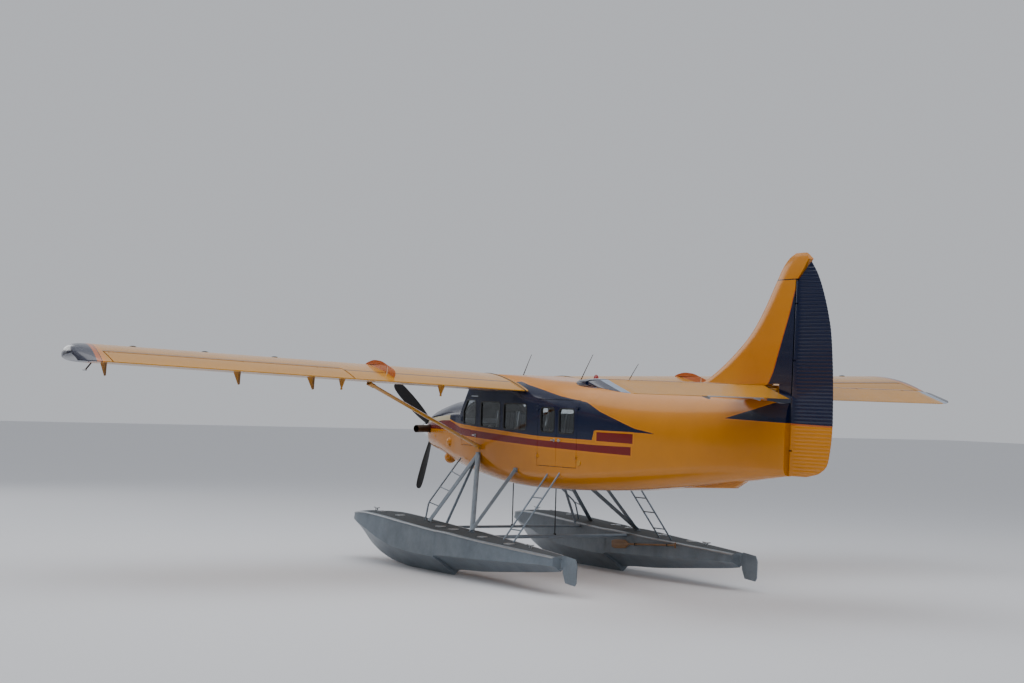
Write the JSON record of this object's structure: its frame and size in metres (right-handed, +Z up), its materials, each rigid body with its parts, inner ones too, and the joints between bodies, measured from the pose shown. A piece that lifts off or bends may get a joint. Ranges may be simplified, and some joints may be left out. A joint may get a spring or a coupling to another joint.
{
  "type": "floatplane",
  "caption": "High-wing floatplane: propeller nose, windowed cabin with hinged doors, moving flight surfaces, and floats on braced struts with steering water rudders.",
  "frame": {"origin": "on the floor under the keels of the floats, on the centreline, halfway between the spinner's tip and the rudder's rear edge", "axes": "+X along the span to port, +Y aft along the fuselage, +Z up"},
  "size_m": [17.1914, 12.515, 5.345],
  "materials": {
    "yellow_paint": "gloss golden yellow enamel on sheet metal",
    "navy_paint": "gloss navy enamel on sheet metal",
    "tail_yellow": "thin aluminium sheet, gloss golden yellow enamel",
    "tail_navy": "fluted aluminium sheet, gloss navy enamel",
    "float_paint": "aluminium sheet, worn pale grey paint",
    "strut_paint": "streamlined tube, satin pale blue-grey paint",
    "engine_metal": "dark heat-stained metal",
    "propeller_black": "matt black paint on aluminium blades",
    "polished_aluminium": "polished",
    "floor_sheet": "grey painted sheet",
    "cabin_trim": "matt black",
    "seat_cover": "worn grey vinyl"
  },
  "bodies": {
    "airframe": {"windscreen_frame": "navy_paint", "cabin_side_port": "navy_paint", "cabin_side_starboard": "navy_paint", "belly": "yellow_paint", "rear_roof": "yellow_paint", "wing_centre": "navy_paint", "cabin_floor": "floor_sheet", "cabin_bulkhead": "floor_sheet", "instrument_panel": "cabin_trim", "seat_pilot": "seat_cover", "seat_co_pilot": "seat_cover", "seat_fore_port": "seat_cover", "seat_fore_starboard": "seat_cover", "seat_rear": "seat_cover", "cowl_upper": "navy_paint", "cowl_lower": "yellow_paint", "firewall": "engine_metal", "engine": "engine_metal", "tail_cone": "tail_yellow", "ventral_strake": "tail_yellow", "tailplane": "tail_yellow", "fin": "tail_yellow", "wing_port": "yellow_paint", "wing_tip_port": "navy_paint", "wing_starboard": "yellow_paint", "wing_tip_starboard": "navy_paint", "wing_strut_port": "yellow_paint", "wing_strut_starboard": "yellow_paint", "float_port": "float_paint", "float_starboard": "float_paint", "float_struts_port": "strut_paint", "float_struts_starboard": "strut_paint", "rear_ladder_port": "strut_paint", "rear_ladder_starboard": "strut_paint", "spreader_fore": "strut_paint", "spreader_aft": "strut_paint"},
    "propeller_body": {"propeller": "propeller_black", "spinner": "polished_aluminium"},
    "rudder_body": {"rudder": "tail_navy"},
    "elevator_body": {"elevator_port": "tail_yellow", "elevator_starboard": "tail_yellow"},
    "aileron_port_body": {"aileron_port": "yellow_paint"},
    "aileron_starboard_body": {"aileron_starboard": "yellow_paint"},
    "flap_port_body": {"flap_port": "yellow_paint"},
    "flap_starboard_body": {"flap_starboard": "yellow_paint"},
    "crew_door_port_body": {"crew_door_port": "yellow_paint"},
    "crew_door_starboard_body": {"crew_door_starboard": "yellow_paint"},
    "cargo_door_fore_body": {"cargo_door_fore": "yellow_paint"},
    "cargo_door_aft_body": {"cargo_door_aft": "yellow_paint"},
    "cabin_door_starboard_body": {"cabin_door_starboard": "yellow_paint"},
    "water_rudder_port_body": {"water_rudder_port": "float_paint"},
    "water_rudder_starboard_body": {"water_rudder_starboard": "float_paint"}
  },
  "joints": [
    {"name": "propeller_spin", "type": "hinge", "parent": "airframe", "child": "propeller_body", "pos_m": [0, -5.87, 2.455], "axis": [0, 1, 0], "continuous": true},
    {"name": "rudder_turn", "type": "hinge", "parent": "airframe", "child": "rudder_body", "pos_m": [0, 5.382, 2.09], "axis": [0, 0.025, 0.9997], "range_deg": [-25, 25]},
    {"name": "elevator_tilt", "type": "hinge", "parent": "airframe", "child": "elevator_body", "pos_m": [0, 4.81, 3.335], "axis": [1, 0, 0], "range_deg": [0, 40]},
    {"name": "aileron_port_tilt", "type": "hinge", "parent": "airframe", "child": "aileron_port_body", "pos_m": [0.813, -1.51, 3.3078], "axis": [0.9995, 0, 0.0317], "range_deg": [-20, 20]},
    {"name": "aileron_starboard_tilt", "type": "hinge", "parent": "airframe", "child": "aileron_starboard_body", "pos_m": [-0.813, -1.51, 3.3078], "axis": [0.9995, 0, -0.0317], "range_deg": [-20, 20]},
    {"name": "flap_port_tilt", "type": "hinge", "parent": "airframe", "child": "flap_port_body", "pos_m": [0.8208, -1.63, 3.0609], "axis": [-0.9995, 0, -0.0317], "range_deg": [0, 60]},
    {"name": "flap_starboard_tilt", "type": "hinge", "parent": "airframe", "child": "flap_starboard_body", "pos_m": [-0.8208, -1.63, 3.0609], "axis": [-0.9995, 0, 0.0317], "range_deg": [0, 60]},
    {"name": "crew_door_port_swing", "type": "hinge", "parent": "airframe", "child": "crew_door_port_body", "pos_m": [0.7249, -3.42, 2.4], "axis": [0, 0, -1], "range_deg": [0, 80]},
    {"name": "crew_door_starboard_swing", "type": "hinge", "parent": "airframe", "child": "crew_door_starboard_body", "pos_m": [-0.7249, -3.42, 2.4], "axis": [0, 0, 1], "range_deg": [0, 80]},
    {"name": "cargo_door_fore_swing", "type": "hinge", "parent": "airframe", "child": "cargo_door_fore_body", "pos_m": [0.7901, -0.59, 2.4], "axis": [0, 0, -1], "range_deg": [0, 95]},
    {"name": "cargo_door_aft_swing", "type": "hinge", "parent": "airframe", "child": "cargo_door_aft_body", "pos_m": [0.7082, 0.53, 2.4], "axis": [0, 0, 1], "range_deg": [0, 95]},
    {"name": "cabin_door_starboard_swing", "type": "hinge", "parent": "airframe", "child": "cabin_door_starboard_body", "pos_m": [-0.7901, -0.59, 2.4], "axis": [0, 0, 1], "range_deg": [0, 95]},
    {"name": "water_rudder_port_turn", "type": "hinge", "parent": "airframe", "child": "water_rudder_port_body", "pos_m": [1.755, 1.89, 0.4], "axis": [0, 0, 1], "range_deg": [-30, 30]},
    {"name": "water_rudder_starboard_turn", "type": "hinge", "parent": "airframe", "child": "water_rudder_starboard_body", "pos_m": [-1.755, 1.89, 0.4], "axis": [0, 0, 1], "range_deg": [-30, 30]}
  ],
  "couplings": [
    {"joint": "aileron_starboard_tilt", "follows": "aileron_port_tilt", "ratio": -1},
    {"joint": "flap_starboard_tilt", "follows": "flap_port_tilt", "ratio": 1},
    {"joint": "water_rudder_port_turn", "follows": "rudder_turn", "ratio": 1.2},
    {"joint": "water_rudder_starboard_turn", "follows": "rudder_turn", "ratio": 1.2}
  ]
}
